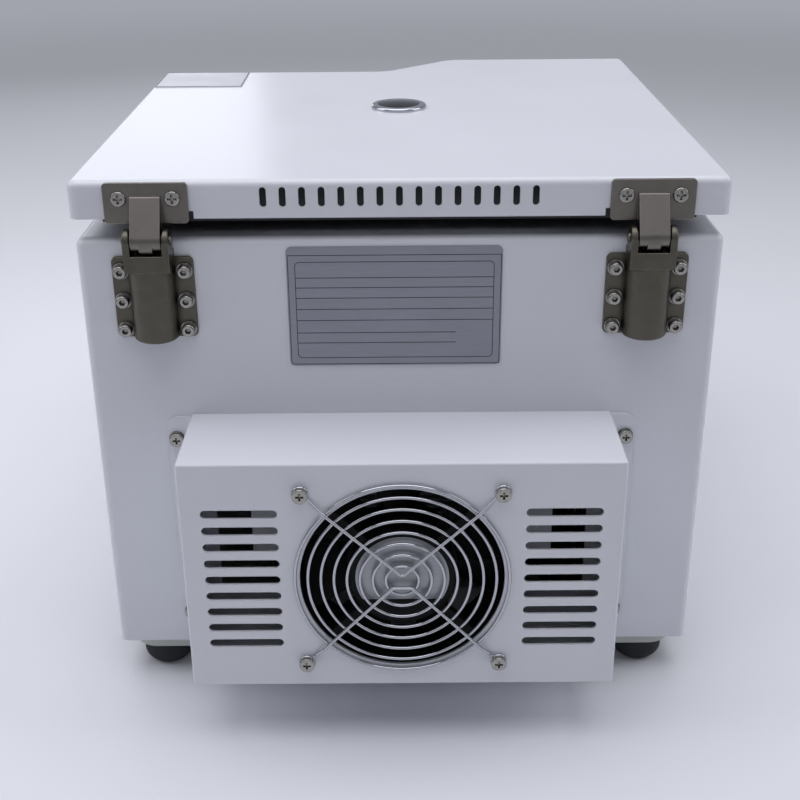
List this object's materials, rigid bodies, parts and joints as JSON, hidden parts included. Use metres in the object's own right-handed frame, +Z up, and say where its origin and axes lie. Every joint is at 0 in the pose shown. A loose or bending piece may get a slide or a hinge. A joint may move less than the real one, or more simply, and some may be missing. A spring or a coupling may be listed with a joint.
{
  "type": "microplate centrifuge",
  "caption": "Bench microplate centrifuge with a hinged lid, swing-out plate rotor, sloping control face and a rear fan box.",
  "frame": {"origin": "on the bench under the middle of the whole machine, fan box and guard included", "axes": "+Z up; -Y is the front with the controls, +Y the rear with the fan box; +X is the side with the mains inlet"},
  "size_m": [0.3452, 0.4866, 0.3116],
  "materials": {
    "powder_coat": "white powder coat with a fine orange peel",
    "pan_coat": "grey-green powder coat",
    "cream_abs": "off-white moulded plastic",
    "liner_abs": "dark grey moulded plastic",
    "soft_rubber": "black rubber",
    "zinc_steel": "bright zinc plating",
    "grey_plate": "satin grey plate",
    "silver_label": "satin silver label",
    "dark_pane": "smoked clear plastic",
    "grey_key": "grey silicone key",
    "green_key": "green silicone key",
    "black_plastic": "black moulded plastic",
    "circuit_board": "green solder mask",
    "stainless": "satin stainless steel",
    "black_steel": "black painted steel",
    "motor_paint": "dark grey motor paint",
    "anodised": "clear anodised",
    "satin_nickel": "satin nickel plating",
    "dark_steel": "oiled dark steel",
    "galvanised": "grey galvanised sheet",
    "bright_chrome": "bright plated wire"
  },
  "bodies": {
    "base": {"cabinet_shell": "powder_coat", "base_pan": "pan_coat", "rubber_feet": "soft_rubber", "base_screws": "zinc_steel", "rating_plate": "grey_plate", "fascia_shell": "cream_abs", "display_window": "dark_pane", "knob_encoder": "black_plastic", "control_board": "circuit_board", "power_board": "circuit_board", "board_standoffs": "zinc_steel", "board_screws": "zinc_steel", "inlet_socket": "black_plastic", "switch_bezel": "black_plastic", "chamber_bowl": "stainless", "bowl_gasket": "soft_rubber", "armour_ring": "black_steel", "ring_studs": "zinc_steel", "motor_pillars": "zinc_steel", "motor_dampers": "soft_rubber", "motor_plate": "black_steel", "motor_body": "motor_paint", "motor_bearings": "stainless", "lock_frame": "zinc_steel", "lock_solenoid": "black_plastic", "hinge_brackets": "satin_nickel", "bracket_screws": "zinc_steel", "hinge_pins": "dark_steel", "hinge_springs": "dark_steel", "fan_box": "powder_coat", "box_screws": "zinc_steel", "air_baffles": "galvanised", "fan_frame": "black_plastic", "fan_label": "silver_label", "fan_guard": "bright_chrome", "guard_screws": "bright_chrome"},
    "lid": {"lid_shell": "powder_coat", "lid_liner": "liner_abs", "liner_screws": "zinc_steel", "lid_gasket": "soft_rubber", "port_bezel": "bright_chrome", "port_lens": "dark_pane", "lid_plate": "silver_label", "hinge_leaves": "satin_nickel", "leaf_screws": "satin_nickel", "lid_striker": "zinc_steel"},
    "rotor": {"motor_shaft": "stainless", "rotor_yoke": "anodised", "rotor_nut": "stainless", "trunnion_pins": "stainless"},
    "front_carrier": {"front_carrier": "anodised"},
    "rear_carrier": {"rear_carrier": "anodised"},
    "fan": {"fan_impeller": "black_plastic"},
    "latch": {"latch_bolt": "zinc_steel"},
    "start_key": {"start_key": "green_key"},
    "stop_key": {"stop_key": "grey_key"},
    "lid_key": {"lid_key": "grey_key"},
    "knob": {"control_knob": "black_plastic"},
    "rocker": {"power_rocker": "black_plastic"},
    "plungers": {"hinge_plungers": "dark_steel"}
  },
  "joints": [
    {"name": "lid_hinge", "type": "hinge", "parent": "base", "child": "lid", "pos_m": [0, 0.1866, 0.2792], "axis": [-1, 0, 0], "range_deg": [0, 80]},
    {"name": "rotor_spin", "type": "hinge", "parent": "base", "child": "rotor", "pos_m": [0, -0.0003, 0.166], "axis": [0, 0, 1], "continuous": true},
    {"name": "front_carrier_swing", "type": "hinge", "parent": "rotor", "child": "front_carrier", "pos_m": [0, -0.04684, 0.225], "axis": [-1, 0, 0], "range_deg": [0, 90]},
    {"name": "rear_carrier_swing", "type": "hinge", "parent": "rotor", "child": "rear_carrier", "pos_m": [0, 0.04624, 0.225], "axis": [1, 0, 0], "range_deg": [0, 90]},
    {"name": "fan_spin", "type": "hinge", "parent": "base", "child": "fan", "pos_m": [0, 0.2172, 0.1073], "axis": [0, 1, 0], "continuous": true},
    {"name": "latch_slide", "type": "slide", "parent": "base", "child": "latch", "axis": [-1, 0, 0], "range_m": [0, 0.012]},
    {"name": "start_key_press", "type": "slide", "parent": "base", "child": "start_key", "axis": [0, 0.4226, -0.9063], "range_m": [0, 0.001], "stiffness_N_per_m": 300, "springref_m": -0.001},
    {"name": "stop_key_press", "type": "slide", "parent": "base", "child": "stop_key", "axis": [0, 0.4226, -0.9063], "range_m": [0, 0.001], "stiffness_N_per_m": 300, "springref_m": -0.001},
    {"name": "lid_key_press", "type": "slide", "parent": "base", "child": "lid_key", "axis": [0, 0.4226, -0.9063], "range_m": [0, 0.001], "stiffness_N_per_m": 300, "springref_m": -0.001},
    {"name": "knob_turn", "type": "hinge", "parent": "base", "child": "knob", "pos_m": [-0.104, -0.20461, 0.27003], "axis": [0, -0.4226, 0.9063], "continuous": true},
    {"name": "rocker_tilt", "type": "hinge", "parent": "base", "child": "rocker", "pos_m": [0.16975, 0.0747, 0.078], "axis": [0, -1, 0], "range_deg": [0, 20]},
    {"name": "plunger_slide", "type": "slide", "parent": "base", "child": "plungers", "axis": [0, 0, 1], "range_m": [0, 0.00258], "deforming": ["hinge_springs"]}
  ],
  "couplings": [
    {"joint": "plunger_slide", "follows": "lid_hinge", "m_per_rad": 0.0018415}
  ]
}
